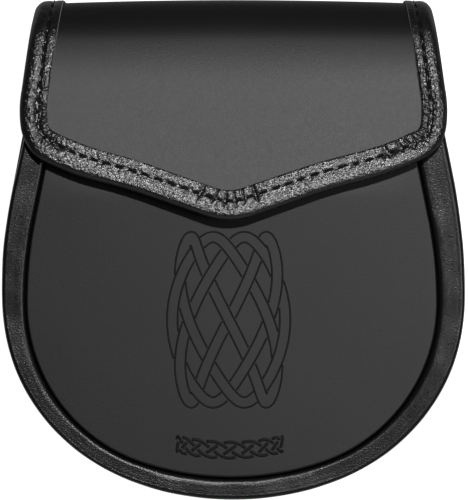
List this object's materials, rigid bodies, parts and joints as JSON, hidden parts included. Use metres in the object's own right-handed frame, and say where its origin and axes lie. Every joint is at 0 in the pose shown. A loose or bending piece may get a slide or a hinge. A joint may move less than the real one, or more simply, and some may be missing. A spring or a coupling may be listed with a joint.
{
  "type": "sporran pouch",
  "caption": "Round-bottomed black leather pouch worn in front of a kilt, with a pointed front flap edged in stitched grained leather, a soft gusset and a strap keeper on its back.",
  "frame": {"origin": "middle of the footprint, on the surface that the pouch lies on", "axes": "+Z towards the pouch's front, +Y from its rounded bottom to the fold at its top, +X across it to the right as seen from the front"},
  "size_m": [0.1854, 0.2, 0.0462],
  "materials": {
    "smooth_leather": "smooth matt black leather with a fine grain",
    "grained_leather": "pebbled glossy black leather",
    "soft_leather": "soft satin black leather",
    "strap_leather": "smooth black leather with cut edges",
    "stud_metal": "black enamelled metal"
  },
  "bodies": {
    "root": {"back_flap_panel": "smooth_leather", "flap_binding": "grained_leather", "gusset": "soft_leather", "front_panel": "smooth_leather", "strap_keeper": "strap_leather", "closure_stud": "stud_metal"}
  },
  "joints": []
}
